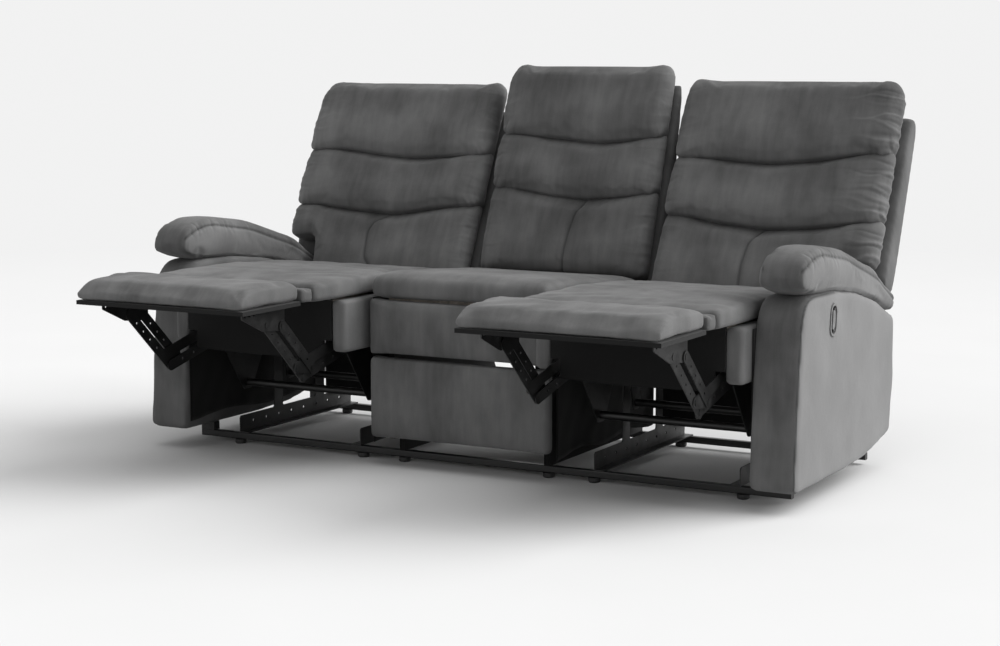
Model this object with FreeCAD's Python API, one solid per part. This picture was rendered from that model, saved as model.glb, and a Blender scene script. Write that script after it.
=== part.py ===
import FreeCAD, Part
import math
import os

from FreeCAD import Vector

# Three-seat reclining sofa, in millimetres.
# X runs across the sofa, Y from front to back and Z up.
# Pieces are drawn with Y = 0 over the front rail; the last step moves Y = 0 to the middle of the sofa.
# Footrests are drawn open and the outer backs leaned, as the sofa stands at rest.

# Main sizes
seatPitch = 525.0
armWidth = 116.0
seatClearance = 2.5
centreClearance = 4.0
softGap = 0.3
slideTravel = 100.0

# Base rails and feet
railSize = 18.0
railWall = 1.5
railCorner = 3.0
railInset = 64.5
rearRailY = 523.0
footRadius = 15.0
footHeight = 12.0
footBevel = 3.0
footTaper = 2.0
centreFootInset = 51.5
plugLip = 2.0
plugDepth = 14.0
armPostHalf = 12.0
armPostInset = 10.0

# Mechanism sheet metal; offsets run from a seat's middle plane outwards
plateInset = 66.0
plateThickness = 3.0
layerGap = 0.4
angleLeg = 28.0
angleHeight = 45.0
angleHoleRadius = 4.0
angleHoleCount = 8
linkHalfWidth = 14.0
linkHoleRadius = 3.0
linkHoleCount = 4
pinRadius = 5.0
pinFit = 0.06
pinHeadLip = 3.0
pinHeadHeight = 1.0

# Cross tubes of the chassis
tubeRadius = 10.0
tubeWall = 1.5
tubeHeight = 160.0
tubeYs = (38.0, 240.0)
tubeLug = 18.0

# Guide pins on the base uprights, and the slots that ride on them
guidePinRadius = 6.0
guideFit = 0.1
guideHeight = 265.0
guideYs = (170.0, 370.0)
guideHeadLip = 3.0
guideHeadHeight = 2.0
uprightWidth = 40.0
slotEnd = 1.0
slotWeb = 22.8

# Footrest linkage pivots (Y, Z): two equal parallelograms, so every link keeps one ratio
rearPivot = (-59.0, 303.0)
kneePivot = (-286.0, 249.0)
bracketFrontPivot = (-442.0, 394.0)
bracketPivotPitch = 62.0
bracketPivotDrop = 8.0
crossReach = 40.0

# Footrest
footrestMargin = 19.0
footrestFront = -598.0
footrestRear = -355.0
footrestBottom = 434.0
footrestBoardThickness = 10.0
footrestBoardInset = 8.0
footrestPadHeight = 50.0
bracketReach = 100.0
bracketLip = 13.0
bracketFlange = 22.0
bracketHoleCount = 3
bracketHolePitch = 18.0

# Seats
seatTop = 478.0
seatFront = -185.0
seatRear = 375.0
deckBottom = 418.0
deckThickness = 10.0
stripBottom = 281.0
stripWidth = 40.0
boardThickness = 8.0
boardSag = 4.0
boardOverLink = 3.0
cushionRearDrop = 26.0
cushionMiddleDrop = 4.0
cushionCrown = 6.0
flapLength = 118.0
flapThickness = 46.0
flapLift = 4.0

# Centre seat
centreFront = -98.0
panelDepth = 38.0
kickBottom = 69.0
kickTop = 283.0
centreSeatTop = 486.0
centreSeatRear = 425.0
centreRearDrop = 33.0
centreMiddleDrop = 10.0
sideBoard = 15.0

# Backs, in their own frame: V up along the back, W forward of its hinge
sideTilt = 25.0
centreTilt = 13.0
hingeY = 410.0
hingeZ = 335.0
earRadius = 19.0
hubRadius = 18.0
centreBackY = 455.3
centreBackZ = 372.5
centreShellBottom = -95.0
pillowFace = 36.0
shellFace = -28.0
shellRearLow = -119.0
shellRearHigh = -87.0
shellBottom = -10.0
shellTop = 612.0
pillowBottom = 60.0
seamLow = 297.0
seamHigh = 462.0
pillowTop = 676.0
centrePillowTop = 655.0
wingOverArm = 97.5
wingDatum = 339.93
wingSlope = 50.0
wingPillowLift = 25.0
backInset = 4.0
bladeWidth = 30.0
bladeLength = 220.0
bladeInset = 10.0

# Arms; falls are measured down from the arm's highest edge, rises up from it
armBottom = 52.0
armTop = 494.0
armFront = -151.0
armLean = 17.0
armNose = 39.0
armRear = 531.0
armCornerY = 522.0
armCornerZ = 91.0
armSlopeY = 333.0
armSlopeZ = 57.0
armSoftness = 12.0
armFalls = [(88.0, 3.0), (243.0, 21.0), (394.0, 57.0)]
armRearFall = 111.0
padOverhang = 5.0
padSoftness = 12.0
padRises = [(389.0, 19.0, 200.0), (165.0, 84.0, 400.0), (-26.0, 109.0, 120.0), (-112.0, 84.0, 60.0),
            (-136.0, 18.0, 30.0), (-60.0, 5.0, 200.0)]
padRearHeight = 42.0

# Release handle in the arm's outer face
handleY = 77.0
handleDrop = 69.0
handleTilt = -6.0
bezelLip = 3.0
bezelFlange = 2.0
cupHeight = 70.0
cupWidth = 38.0
cupDepth = 20.0
cupWall = 2.0
leverThickness = 4.0
fingerGap = 15.0
leverPinRadius = 2.0
leverPinCover = 2.5
leverBarrelWall = 1.2
leverHeel = 2.0
leverPinX = -3.0
leverEndGap = 9.0

# Sizes that follow from the ones above
armInner = 1.5 * seatPitch
armOuter = armInner + armWidth
railHalfLength = armOuter - railInset
railTop = footHeight + railSize
seatHalfWidth = 0.5 * seatPitch - seatClearance
centreHalfWidth = 0.5 * seatPitch - centreClearance
centreFootX = centreHalfWidth - centreFootInset
footrestWidth = seatPitch - footrestMargin
plateOffset = seatHalfWidth - plateInset
layerStep = plateThickness + layerGap
deckTop = deckBottom + deckThickness
cushionFront = seatFront - 1.0
flapHingeY = cushionFront - softGap
flapHingeZ = deckTop + flapLift
wingReach = armInner + wingOverArm
wingBottomFront = (armTop - wingDatum) / math.cos(math.radians(sideTilt))
wingBottomRear = wingBottomFront - wingSlope
wingPillowBottom = wingBottomFront + wingPillowLift
shellHalfWidth = 0.5 * seatPitch - backInset
pillowDepth = pillowFace - shellFace - softGap
handleZ = armTop - handleDrop
leverPinY = 0.5 * cupWidth - cupWall - leverPinRadius - leverPinCover

# The short link is parallel to the long one, crossReach along it
shinVector = Vector(0, bracketFrontPivot[0] - kneePivot[0], bracketFrontPivot[1] - kneePivot[1]).normalize()
frontPivot = (rearPivot[0] + crossReach * shinVector.y, rearPivot[1] + crossReach * shinVector.z)
crossPivot = (kneePivot[0] + crossReach * shinVector.y, kneePivot[1] + crossReach * shinVector.z)
bracketRearPivot = (bracketFrontPivot[0] + bracketPivotPitch, bracketFrontPivot[1] - bracketPivotDrop)
tailPivot = (crossPivot[0] + bracketPivotPitch, crossPivot[1] - bracketPivotDrop)


# Point of a leaned back, from its place W forward of the hinge and V up along the back
def backPoint(tilt, pivotY, pivotZ, w, v):
    lean = math.radians(tilt)
    y = pivotY + v * math.sin(lean) - w * math.cos(lean)
    z = pivotZ + v * math.cos(lean) + w * math.sin(lean)
    return y, z


crestY = backPoint(sideTilt, hingeY, hingeZ, shellRearHigh, shellTop)[0]
originY = 0.5 * (footrestFront + crestY)


# Closed wire in the plane X = x from corners (Y, Z, corner radius)
def roundedWire(corners, x):
    edges = []
    starts = []
    ends = []
    mids = []
    count = len(corners)
    for index in range(count):
        here = Vector(x, corners[index][0], corners[index][1])
        before = Vector(x, corners[index - 1][0], corners[index - 1][1])
        after = Vector(x, corners[(index + 1) % count][0], corners[(index + 1) % count][1])
        toBefore = (before - here).normalize()
        toAfter = (after - here).normalize()
        turn = math.pi - toBefore.getAngle(toAfter)
        reach = corners[index][2] * math.tan(0.5 * turn)
        limit = 0.48 * min(here.distanceToPoint(before), here.distanceToPoint(after))
        reach = min(reach, limit)
        radius = reach / math.tan(0.5 * turn) if turn > 1e-6 else 0.0
        starts.append(here + toBefore * reach)
        ends.append(here + toAfter * reach)
        if radius < 1e-6:
            mids.append(None)
            continue
        bisector = (toBefore + toAfter).normalize()
        centre = here + bisector * (radius / math.cos(0.5 * turn))
        mids.append(centre - bisector * radius)
    for index in range(count):
        if mids[index] is not None:
            edges.append(Part.Arc(starts[index], mids[index], ends[index]).toShape())
        following = starts[(index + 1) % count]
        if ends[index].distanceToPoint(following) > 1e-6:
            edges.append(Part.LineSegment(ends[index], following).toShape())
    return Part.Wire(Part.__sortEdges__(edges))


def prism(corners, x0, x1):
    face = Part.Face(roundedWire(corners, x0))
    return face.extrude(Vector(x1 - x0, 0, 0))


# Corners of an upright rectangle, all with one radius
def rectangle(y0, y1, z0, z1, radius):
    return [(y0, z0, radius), (y1, z0, radius), (y1, z1, radius), (y0, z1, radius)]


def box(x0, x1, y0, y1, z0, z1):
    return Part.makeBox(x1 - x0, y1 - y0, z1 - z0, Vector(x0, y0, z0))


# Cylinder along X
def rod(radius, x0, x1, y, z):
    return Part.makeCylinder(radius, x1 - x0, Vector(x0, y, z), Vector(1, 0, 0))


# Prism whose two end outlines are softened
def softPrism(corners, x0, x1, endRadius):
    solid = prism(corners, x0, x1)
    endEdges = []
    for edge in solid.Edges:
        xs = [vertex.X for vertex in edge.Vertexes]
        if max(xs) - min(xs) < 1e-6:
            endEdges.append(edge)
    return solid.makeFillet(endRadius, endEdges)


def mirrored(shape):
    return shape.mirror(Vector(0, 0, 0), Vector(1, 0, 0))


# A shape drawn at positive offsets from a seat's middle plane, on both sides of it
def bothSides(shape):
    return Part.makeCompound([mirrored(shape), shape])


def atSeat(shape):
    return shape.translated(Vector(seatPitch, 0, 0))


# Turns a shape drawn in a back's own frame and stands it on that back's pivot
def leanBack(shape, tilt, pivotY, pivotZ):
    leaned = shape.copy()
    leaned.rotate(Vector(0, 0, 0), Vector(1, 0, 0), -tilt)
    leaned.translate(Vector(0, pivotY, pivotZ))
    return leaned


def save(name, shape):
    moved = shape.copy()
    moved.translate(Vector(0, -originY, 0))
    for solid in moved.Solids:
        if not solid.isValid() or solid.Volume <= 0:
            raise ValueError(name + " is not a valid solid")
    moved.exportStep("parts/" + name + ".step")


# Square tube with thin walls and rounded corners
def railTube(y):
    half = 0.5 * railSize
    hollow = half - railWall
    middle = footHeight + half
    outer = rectangle(y - half, y + half, middle - half, middle + half, railCorner)
    inner = rectangle(y - hollow, y + hollow, middle - hollow, middle + hollow, railCorner - railWall)
    tube = prism(outer, -railHalfLength, railHalfLength)
    return tube.cut(prism(inner, -railHalfLength, railHalfLength))


# Moulded cap: a stem inside the tube and a lip over its end
def railPlug(y):
    half = 0.5 * railSize
    stem = half - railWall
    middle = footHeight + half
    stemCorners = rectangle(y - stem, y + stem, middle - stem, middle + stem, railCorner - railWall)
    lipCorners = rectangle(y - half, y + half, middle - half, middle + half, railCorner)
    cap = prism(stemCorners, railHalfLength - plugDepth, railHalfLength)
    return cap.fuse(prism(lipCorners, railHalfLength, railHalfLength + plugLip)).removeSplitter()


def railPlugs():
    plugs = []
    for y in (0.0, rearRailY):
        plug = railPlug(y)
        plugs.append(plug)
        plugs.append(mirrored(plug))
    return Part.makeCompound(plugs)


# Round glides under both rails, below each mechanism side and the centre boards
def glideFeet():
    feet = []
    footXs = [centreFootX, seatPitch - plateOffset, seatPitch + plateOffset]
    for y in (0.0, rearRailY):
        for x in footXs:
            for side in (-1, 1):
                base = Part.makeCone(footRadius - footTaper, footRadius, footBevel, Vector(side * x, y, 0))
                disc = Part.makeCylinder(footRadius, footHeight - footBevel, Vector(side * x, y, footBevel))
                feet.append(base.fuse(disc).removeSplitter())
    return Part.makeCompound(feet)


# Perforated angle between the rails with two uprights that carry the guide pins
def baseAngle():
    outer = plateOffset - plateThickness
    inner = outer - plateThickness
    low = -0.5 * railSize
    high = rearRailY + 0.5 * railSize
    legTop = railTop + angleHeight
    half = 0.5 * uprightWidth
    top = guideHeight + half
    corners = [(low, railTop, 0.0), (high, railTop, 0.0), (high, legTop, 8.0)]
    for y in reversed(guideYs):
        corners.append((y + half, legTop, 6.0))
        corners.append((y + half, top, half))
        corners.append((y - half, top, half))
        corners.append((y - half, legTop, 6.0))
    corners.append((low, legTop, 8.0))
    angle = prism(corners, inner, outer)
    angle = angle.fuse(box(outer - angleLeg, outer, low, high, railTop, railTop + plateThickness))
    step = (high - low) / (angleHoleCount + 1)
    for index in range(angleHoleCount):
        y = low + step * (index + 1)
        angle = angle.cut(rod(angleHoleRadius, inner - 1.0, outer + 1.0, y, railTop + 0.55 * angleHeight))
    pinEnd = plateOffset + layerStep
    for y in guideYs:
        pin = rod(guidePinRadius, inner, pinEnd, y, guideHeight)
        head = rod(guidePinRadius + guideHeadLip, pinEnd, pinEnd + guideHeadHeight, y, guideHeight)
        angle = angle.fuse(pin).fuse(head)
    return angle.removeSplitter()


# Height of the arm's sloping underside
def armUnderside(y):
    slope = (armCornerZ - armSlopeZ) / (armCornerY - armSlopeY)
    return armCornerZ - slope * (armCornerY - y)


# Posts that carry the arms on the rails; each top follows the arm's underside
def armBrackets():
    rearLow = rearRailY - armPostHalf - 3.0
    rearHigh = armCornerY - 1.0
    front = rectangle(-armPostHalf, armPostHalf, railTop, armBottom, 0.0)
    rear = [(rearLow, railTop, 0.0), (rearHigh, railTop, 0.0), (rearHigh, armUnderside(rearHigh), 0.0),
            (rearLow, armUnderside(rearLow), 0.0)]
    posts = []
    for corners in (front, rear):
        post = prism(corners, armInner + armPostInset, railHalfLength)
        posts.append(post)
        posts.append(mirrored(post))
    return Part.makeCompound(posts)


# Arm outline: upright front, rolled nose, falling top, and an underside that rises to the rear
def armOutline():
    corners = [(armFront, armBottom, 20.0), (armFront + armLean, 0.6 * armTop, 900.0),
               (armFront + armNose, armTop, 95.0)]
    for y, fall in armFalls:
        corners.append((y, armTop - fall, 500.0))
    corners.append((armRear, armTop - armRearFall, 14.0))
    corners.append((armRear + 10.0, 0.44 * armTop, 400.0))
    corners.append((armCornerY, armCornerZ, 14.0))
    corners.append((armSlopeY, armSlopeZ, 300.0))
    corners.append((195.0, armBottom, 300.0))
    return corners


# Stadium outline round the handle, in its own upright frame
def ovalPrism(width, height, x0, x1):
    half = 0.5 * width
    return prism(rectangle(-half, half, -0.5 * height, 0.5 * height, half), x0, x1)


# Tilts a handle piece and sets it in the arm's outer face
def placeHandle(shape):
    placed = shape.copy()
    placed.rotate(Vector(0, 0, 0), Vector(1, 0, 0), handleTilt)
    placed.translate(Vector(armOuter, handleY, handleZ))
    return placed


# Padded arm with a pocket for the handle cup
def arm():
    body = softPrism(armOutline(), armInner, armOuter, armSoftness)
    pocket = ovalPrism(cupWidth, cupHeight, -cupDepth, armSoftness)
    return body.cut(placeHandle(pocket))


# Pillow on the arm: its underside repeats the arm's top
def armPad():
    corners = []
    for y, fall in armFalls:
        corners.append((y, armTop - fall + softGap, 500.0))
    rearZ = armTop - armRearFall + softGap
    corners.append((armRear + 2.0, rearZ, 14.0))
    corners.append((armRear + 5.0, rearZ + padRearHeight, 18.0))
    for y, rise, radius in padRises:
        corners.append((y, armTop + rise, radius))
    return softPrism(corners, armInner, armOuter + padOverhang, padSoftness)


# Oval cup with a flange that lies on the arm
def handleBezel():
    flange = ovalPrism(cupWidth + 2.0 * bezelLip, cupHeight + 2.0 * bezelLip, softGap, softGap + bezelFlange)
    cup = ovalPrism(cupWidth - 2.0 * softGap, cupHeight - 2.0 * softGap, softGap - cupDepth, softGap)
    hollow = ovalPrism(cupWidth - 2.0 * cupWall, cupHeight - 2.0 * cupWall, cupWall - cupDepth, cupDepth)
    bezel = flange.fuse(cup).cut(hollow)
    reach = 0.5 * cupHeight
    bore = Part.makeCylinder(leverPinRadius + pinFit, 2.0 * reach, Vector(leverPinX, leverPinY, -reach))
    return placeHandle(bezel.cut(bore).removeSplitter())


# D-shaped pull lever on an upright pin, with finger room in front of it
def releaseLever():
    rearEdge = leverPinY + leverHeel
    frontEdge = cupWall - 0.5 * cupWidth + fingerGap
    high = 0.5 * cupHeight - cupWall - leverEndGap
    corners = [(frontEdge, -high, 4.0), (rearEdge, -high + 5.0, 8.0), (rearEdge, high - 5.0, 8.0),
               (frontEdge, high, 4.0)]
    paddle = prism(corners, -leverThickness, 0.0)
    pinHalf = high + 0.4 * leverEndGap
    barrelHalf = high - 8.0
    barrelRadius = leverPinRadius + leverBarrelWall
    barrel = Part.makeCylinder(barrelRadius, 2.0 * barrelHalf, Vector(leverPinX, leverPinY, -barrelHalf))
    pin = Part.makeCylinder(leverPinRadius, 2.0 * pinHalf, Vector(leverPinX, leverPinY, -pinHalf))
    return placeHandle(paddle.fuse(barrel).fuse(pin).removeSplitter())


# Boards that stand on both rails, with the rear edge cut to the back's lean
def centreSideBoards():
    low = backPoint(centreTilt, centreBackY, centreBackZ, shellFace + softGap, centreShellBottom)
    high = backPoint(centreTilt, centreBackY, centreBackZ, shellFace + softGap, 0.0)
    frontEdge = centreFront + panelDepth + softGap
    railFace = -0.5 * railSize - 3.0
    rearEdge = rearRailY + 0.5 * railSize
    corners = [(frontEdge, kickBottom, 0.0), (railFace, kickBottom, 5.0), (railFace, railTop, 0.0),
               (rearEdge, railTop, 0.0), (rearEdge, railTop + 60.0, 20.0), (low[0], low[1] - 79.0, 30.0),
               (low[0], low[1], 0.0), (high[0], high[1], 0.0), (centreSeatRear, deckBottom, 0.0),
               (frontEdge, deckBottom, 0.0)]
    boards = []
    for side in (-1, 1):
        middle = side * centreFootX
        boards.append(prism(corners, middle - 0.5 * sideBoard, middle + 0.5 * sideBoard))
    return Part.makeCompound(boards)


def centreDeck():
    half = centreFootX + 0.5 * sideBoard
    frontEdge = centreFront + panelDepth + softGap
    return box(-half, half, frontEdge, centreSeatRear, deckBottom, deckTop)


# Upholstered front panel between two heights, with a rounded top edge
def centrePanel(z0, z1, crown):
    rear = centreFront + panelDepth
    corners = [(centreFront, z0, 10.0), (rear, z0, 2.0), (rear, z1, 2.0), (centreFront, z1, crown)]
    return softPrism(corners, -centreHalfWidth, centreHalfWidth, 6.0)


def centreSeatCushion():
    front = centreFront - 1.0
    low = deckTop + softGap
    corners = [(front, low, 8.0), (centreSeatRear, low, 8.0),
               (centreSeatRear, centreSeatTop - centreRearDrop, 12.0),
               (front + 249.0, centreSeatTop - centreMiddleDrop, 500.0), (front + 67.0, centreSeatTop, 300.0),
               (front, centreSeatTop - 4.0, 34.0)]
    return softPrism(corners, -centreHalfWidth, centreHalfWidth, 7.0)


# Pillow of a back: a rounded outline in X and V, pulled forward and softened round its front
def pillow(outline, softness):
    solid = prism(outline, 0.0, pillowDepth)
    solid.rotate(Vector(0, 0, 0), Vector(0, 0, 1), 90.0)
    solid = mirrored(solid)
    solid.translate(Vector(0, -shellFace - softGap - pillowDepth, 0))
    frontY = solid.BoundBox.YMin
    frontEdges = []
    for edge in solid.Edges:
        if max(abs(vertex.Y - frontY) for vertex in edge.Vertexes) < 1e-6:
            frontEdges.append(edge)
    return solid.makeFillet(softness, frontEdges)


# Lower pillow of an outer back: narrow between the arms, wider above the arm pillow
def sideLowerPillow():
    inner = 0.5 * seatPitch + backInset
    tuck = armInner - backInset
    top = seamLow - softGap
    corners = [(inner, pillowBottom, 20.0), (tuck, pillowBottom, 20.0), (tuck, wingPillowBottom, 6.0),
               (wingReach, wingPillowBottom, 25.0), (wingReach, top, 25.0), (inner, top, 25.0)]
    return leanBack(pillow(corners, 16.0), sideTilt, hingeY, hingeZ)


def sidePillow(v0, v1, radius):
    outline = rectangle(0.5 * seatPitch + backInset, wingReach, v0, v1, radius)
    return leanBack(pillow(outline, 18.0), sideTilt, hingeY, hingeZ)


def centrePillow(v0, v1, radius):
    outline = rectangle(-shellHalfWidth, shellHalfWidth, v0, v1, radius)
    return leanBack(pillow(outline, 18.0), centreTilt, centreBackY, centreBackZ)


# Padded outer back, thicker at the foot; local Y is forward with its sign turned
def shellProfile(bottomFront, bottomRear):
    return [(-shellFace, bottomFront, 6.0), (-shellRearLow, bottomRear, 16.0),
            (-shellRearHigh, shellTop, 38.0), (-shellFace, shellTop, 18.0)]


def centreBackShell():
    profile = shellProfile(centreShellBottom, centreShellBottom)
    body = softPrism(profile, -shellHalfWidth, shellHalfWidth, 8.0)
    return leanBack(body, centreTilt, centreBackY, centreBackZ)


# Outer back of a recliner: a body between the arms, a wing above the arm, and sleeves for the blades
def sideBackShell():
    inner = 0.5 * seatPitch + backInset
    tuck = armInner - backInset
    body = softPrism(shellProfile(shellBottom, shellBottom), inner, tuck, 5.0)
    wing = softPrism(shellProfile(wingBottomFront, wingBottomRear), tuck - 30.0, wingReach, 5.0)
    shell = body.fuse(wing)
    half = 0.5 * plateThickness + softGap
    face = -shellFace
    rear = face + bladeInset + bladeWidth + 1.0
    low = shellBottom - 1.0
    for side in (-1, 1):
        middle = seatPitch + side * (plateOffset + layerStep + 0.5 * plateThickness)
        sleeve = box(middle - half, middle + half, face + bladeInset - 1.0, rear, low, bladeLength + 2.0)
        mouth = box(middle - half, middle + half, face - 1.0, rear, low, pillowBottom + 4.0)
        shell = shell.cut(sleeve).cut(mouth)
    return leanBack(shell.removeSplitter(), sideTilt, hingeY, hingeZ)


# Flat link outline round two or more pivots, as overlapping rounded bars
def linkPlate(pivots, layer):
    x0 = plateOffset + layer * layerStep
    plate = None
    for first, second in zip(pivots[:-1], pivots[1:]):
        along = Vector(0, second[0] - first[0], second[1] - first[1])
        lean = math.degrees(math.atan2(along.z, along.y))
        reach = along.Length + linkHalfWidth
        outline = rectangle(-linkHalfWidth, reach, -linkHalfWidth, linkHalfWidth, linkHalfWidth)
        bar = prism(outline, x0, x0 + plateThickness)
        bar.rotate(Vector(0, 0, 0), Vector(1, 0, 0), lean)
        bar.translate(Vector(0, first[0], first[1]))
        plate = bar if plate is None else plate.fuse(bar)
    return plate.removeSplitter()


# Running holes of a plate in one layer
def drill(plate, pivots, layer):
    x0 = plateOffset + layer * layerStep
    for pivot in pivots:
        plate = plate.cut(rod(pinRadius + pinFit, x0 - 1.0, x0 + plateThickness + 1.0, pivot[0], pivot[1]))
    return plate


# Row of small holes along a link, evenly spaced between two of its pivots
def holeRow(plate, first, second, layer):
    x0 = plateOffset + layer * layerStep
    for index in range(linkHoleCount):
        share = (index + 1.0) / (linkHoleCount + 1.0)
        y = first[0] + share * (second[0] - first[0])
        z = first[1] + share * (second[1] - first[1])
        plate = plate.cut(rod(linkHoleRadius, x0 - 1.0, x0 + plateThickness + 1.0, y, z))
    return plate


# Rivet from one layer's inner face out through another layer, with a head outside it
def rivet(pivot, fromLayer, toLayer, radius):
    x0 = plateOffset + fromLayer * layerStep
    x1 = plateOffset + toLayer * layerStep + plateThickness + 0.5 * layerGap
    shank = rod(radius, x0, x1, pivot[0], pivot[1])
    head = rod(radius + pinHeadLip, x1, x1 + pinHeadHeight + 0.4 * layerGap, pivot[0], pivot[1])
    return shank.fuse(head)


# Side plate under the seat deck: link pivots in front, two guide slots, and an ear for the back
def sidePlate():
    front = -160.0
    rear = seatRear - 8.0
    half = guidePinRadius + guideFit
    web = guideHeight - half - slotWeb
    lugLow = tubeHeight - tubeRadius - 7.0
    firstTube = tubeYs[0]
    secondTube = tubeYs[1]
    earLow = hingeZ - earRadius
    earRear = hingeY + earRadius
    corners = [(front, deckBottom, 0.0), (front, deckBottom - 33.0, 20.0),
               (front + 30.0, rearPivot[1] + 32.0, 20.0), (rearPivot[0] - 22.0, rearPivot[1] - 20.0, 18.0),
               (firstTube - tubeLug, lugLow, 14.0),
               (firstTube + tubeLug, lugLow, 16.0), (firstTube + 70.0, web, 40.0),
               (secondTube - tubeLug - 17.0, web, 40.0), (secondTube - tubeLug, lugLow, 16.0),
               (secondTube + tubeLug, lugLow, 16.0), (secondTube + tubeLug + 27.0, web, 40.0),
               (hingeY - 38.0, web + 4.0, 30.0), (hingeY - 8.0, earLow, 12.0),
               (earRear, earLow, earRadius - 1.0), (earRear, hingeZ + earRadius, earRadius - 1.0),
               (hingeY - 34.0, hingeZ + 22.0, 30.0),
               (rear, deckBottom, 0.0)]
    plate = prism(corners, plateOffset, plateOffset + plateThickness)
    flange = box(plateOffset - angleLeg, plateOffset, front, rear, deckBottom - plateThickness, deckBottom)
    plate = plate.fuse(flange)
    for y in guideYs:
        slot = rectangle(y - slideTravel - half - slotEnd, y + half + slotEnd, guideHeight - half,
                         guideHeight + half, half)
        plate = plate.cut(prism(slot, plateOffset - 1.0, plateOffset + plateThickness + 1.0))
    return plate


# Welded chassis: two side plates, two cross tubes and the fixed rivets
def seatChassis():
    plate = sidePlate()
    plate = plate.fuse(rivet(rearPivot, 0, 1, pinRadius))
    plate = plate.fuse(rivet(frontPivot, 0, 3, pinRadius))
    plate = plate.fuse(rivet((hingeY, hingeZ), 0, 1, guidePinRadius))
    chassis = plate.fuse(mirrored(plate))
    for y in tubeYs:
        tube = rod(tubeRadius, -plateOffset, plateOffset, y, tubeHeight)
        bore = rod(tubeRadius - tubeWall, -plateOffset, plateOffset, y, tubeHeight)
        chassis = chassis.fuse(tube.cut(bore))
    return atSeat(chassis.removeSplitter())


def seatDeck():
    half = seatHalfWidth - stripWidth - softGap
    front = seatFront + boardThickness + softGap
    return atSeat(box(-half, half, front, seatRear, deckBottom, deckTop))


# Height of the control link's top edge where it passes under the seat's front
def controlLinkTop(y):
    along = Vector(0, frontPivot[0] - crossPivot[0], frontPivot[1] - crossPivot[1]).normalize()
    middle = frontPivot[1] + (y - frontPivot[0]) * along.z / along.y
    return middle + linkHalfWidth / along.y


# Dust-cover board under the seat's front edge: it sags between the side plates and clears the links beside them
def frontBoard():
    half = plateOffset
    reach = seatHalfWidth - stripWidth - softGap
    earLow = controlLinkTop(seatFront + boardThickness) + boardOverLink
    places = [(half, stripBottom), (half, earLow), (reach, earLow), (reach, deckTop),
              (-reach, deckTop), (-reach, earLow), (-half, earLow), (-half, stripBottom)]
    corners = [Vector(x, seatFront, z) for x, z in places]
    edges = [Part.Arc(corners[-1], Vector(0, seatFront, stripBottom - boardSag), corners[0]).toShape()]
    for first, second in zip(corners[:-1], corners[1:]):
        edges.append(Part.LineSegment(first, second).toShape())
    face = Part.Face(Part.Wire(edges))
    return atSeat(face.extrude(Vector(0, boardThickness, 0)))


# Upholstered side rails of the seat box
def sideStrips():
    corners = [(seatFront, stripBottom, 10.0), (seatRear, stripBottom, 10.0), (seatRear, deckTop, 2.0),
               (seatFront, deckTop, 2.0)]
    return atSeat(bothSides(softPrism(corners, seatHalfWidth - stripWidth, seatHalfWidth, 1.8)))


def seatCushion():
    low = deckTop + softGap
    corners = [(cushionFront, low, 4.0), (seatRear, low, 8.0), (seatRear, seatTop - cushionRearDrop, 14.0),
               (cushionFront + 336.0, seatTop - cushionMiddleDrop, 500.0),
               (cushionFront + 146.0, seatTop + cushionCrown, 300.0),
               (cushionFront, seatTop, 4.0)]
    return atSeat(softPrism(corners, -seatHalfWidth, seatHalfWidth, 10.0))


# Hanging front of the seat that bridges to the footrest
def seatFlap():
    front = flapHingeY - flapLength
    high = flapHingeZ + flapThickness
    corners = [(front, flapHingeZ, 14.0), (flapHingeY, flapHingeZ, 3.0), (flapHingeY, high, 3.0),
               (front, high, 16.0)]
    half = 0.5 * footrestWidth
    return atSeat(softPrism(corners, -half, half, 10.0))


def footrestBoard():
    half = 0.5 * footrestWidth - footrestBoardInset
    front = footrestFront + footrestBoardInset
    top = footrestBottom + footrestBoardThickness
    return atSeat(box(-half, half, front, footrestRear, footrestBottom, top))


def footrestPad():
    half = 0.5 * footrestWidth
    low = footrestBottom + footrestBoardThickness + softGap
    high = footrestBottom + footrestBoardThickness + footrestPadHeight
    middle = 0.5 * (footrestFront + footrestRear)
    corners = [(footrestFront, low, 10.0), (footrestRear, low, 5.0), (footrestRear, high - 4.0, 12.0),
               (middle, high + 4.0, 300.0), (footrestFront, high - 14.0, 22.0)]
    return atSeat(softPrism(corners, -half, half, 12.0))


# Angle screwed under the footrest board, with the two link pivots in its web
def footrestBracket():
    x0 = plateOffset + 3 * layerStep
    x1 = x0 + plateThickness
    front = bracketFrontPivot[0] - bracketReach
    rear = bracketRearPivot[0] + bracketLip - 1.0
    corners = [(front, footrestBottom, 0.0), (front, footrestBottom - 16.0, 6.0),
               (bracketFrontPivot[0] - bracketLip - 3.0, bracketFrontPivot[1] - bracketLip, 14.0),
               (rear, bracketRearPivot[1] - bracketLip, 12.0), (rear, footrestBottom, 0.0)]
    web = prism(corners, x0, x1)
    flange = box(x0 - bracketFlange, x0, front, rear, footrestBottom - plateThickness, footrestBottom)
    bracket = drill(web.fuse(flange), [bracketFrontPivot], 3)
    for index in range(bracketHoleCount):
        y = front + (index + 0.7) * bracketHolePitch
        bracket = bracket.cut(rod(angleHoleRadius, x0 - 1.0, x1 + 1.0, y, footrestBottom - bracketLip + 4.0))
    bracket = bracket.fuse(rivet(bracketRearPivot, 3, 4, pinRadius))
    return bracket.removeSplitter()


# Lower link from the chassis to the knee
def rearLink():
    link = drill(linkPlate([rearPivot, kneePivot], 1), [rearPivot], 1)
    link = holeRow(link, rearPivot, kneePivot, 1)
    return link.fuse(rivet(kneePivot, 1, 2, pinRadius)).removeSplitter()


# Bent control link: chassis to the crossing pivot, with a lug for the short link
def controlLink():
    link = drill(linkPlate([frontPivot, crossPivot, tailPivot], 3), [frontPivot, crossPivot], 3)
    return link.fuse(rivet(tailPivot, 3, 4, pinRadius)).removeSplitter()


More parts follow.
